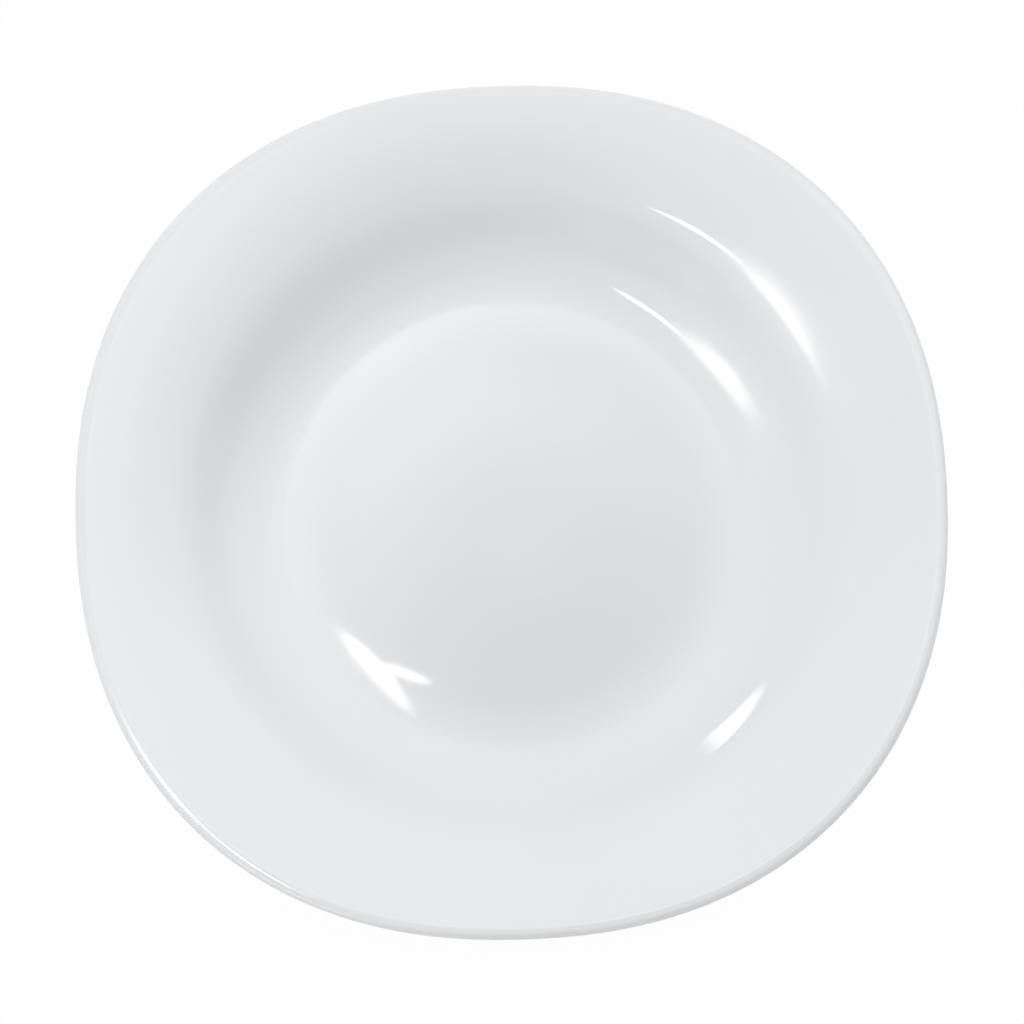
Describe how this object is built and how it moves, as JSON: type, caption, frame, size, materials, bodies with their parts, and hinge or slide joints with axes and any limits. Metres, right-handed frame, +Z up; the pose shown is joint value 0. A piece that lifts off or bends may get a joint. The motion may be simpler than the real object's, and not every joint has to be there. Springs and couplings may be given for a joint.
{
  "type": "soup plate",
  "caption": "Rimmed soup plate in white opal glass: round well, soft shoulder and a rim whose rolled lip is a square with round sides, on a foot ring.",
  "frame": {"origin": "middle of the foot ring, on the plane the plate stands on", "axes": "+Z up out of the well; X and Y run square to the plate's four flat sides"},
  "size_m": [0.23, 0.23, 0.0323],
  "materials": {
    "opal_glass": "white opal glass, opaque, fire-polished gloss"
  },
  "bodies": {
    "root": {"plate": "opal_glass"}
  },
  "joints": []
}
